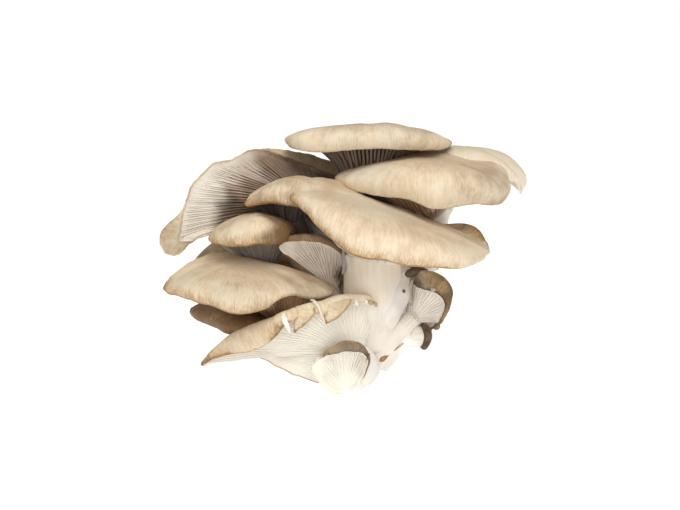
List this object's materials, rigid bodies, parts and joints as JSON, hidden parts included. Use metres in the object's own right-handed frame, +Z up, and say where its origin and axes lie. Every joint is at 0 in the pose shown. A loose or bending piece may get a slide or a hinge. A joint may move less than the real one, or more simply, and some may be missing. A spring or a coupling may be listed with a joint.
{
  "type": "oyster mushroom cluster",
  "caption": "Cluster of oyster mushrooms with shelf-like caps, decurrent gills and short stems joined in one fused base with a flat cut.",
  "frame": {"origin": "centre of the footprint of the whole cluster's box, on the surface the cut base rests on", "axes": "+X along the cluster's width with the front facing -Y, +Y from front to back, +Z up from the cut base to the top cap"},
  "size_m": [0.1855, 0.1482, 0.1258],
  "materials": {
    "tan_cap": "matte",
    "pale_cap": "matte",
    "dark_cap": "matte",
    "flesh": "matte"
  },
  "bodies": {
    "root": {"fused_base": "flesh", "centre_mushroom": "tan_cap", "top_mushroom": "tan_cap", "right_mushroom": "tan_cap", "right_back_mushroom": "pale_cap", "left_mushroom": "tan_cap", "left_inner_mushroom": "tan_cap", "left_upper_mushroom": "tan_cap", "left_hidden_mushroom": "tan_cap", "left_large_mushroom": "tan_cap", "left_shaded_mushroom": "tan_cap", "front_mushroom": "tan_cap", "centre_small_mushroom": "tan_cap", "bottom_small_mushroom": "dark_cap", "right_small_mushroom": "dark_cap", "right_bud": "dark_cap", "back_left_mushroom": "tan_cap", "back_right_mushroom": "tan_cap", "back_low_mushroom": "tan_cap"}
  },
  "joints": []
}
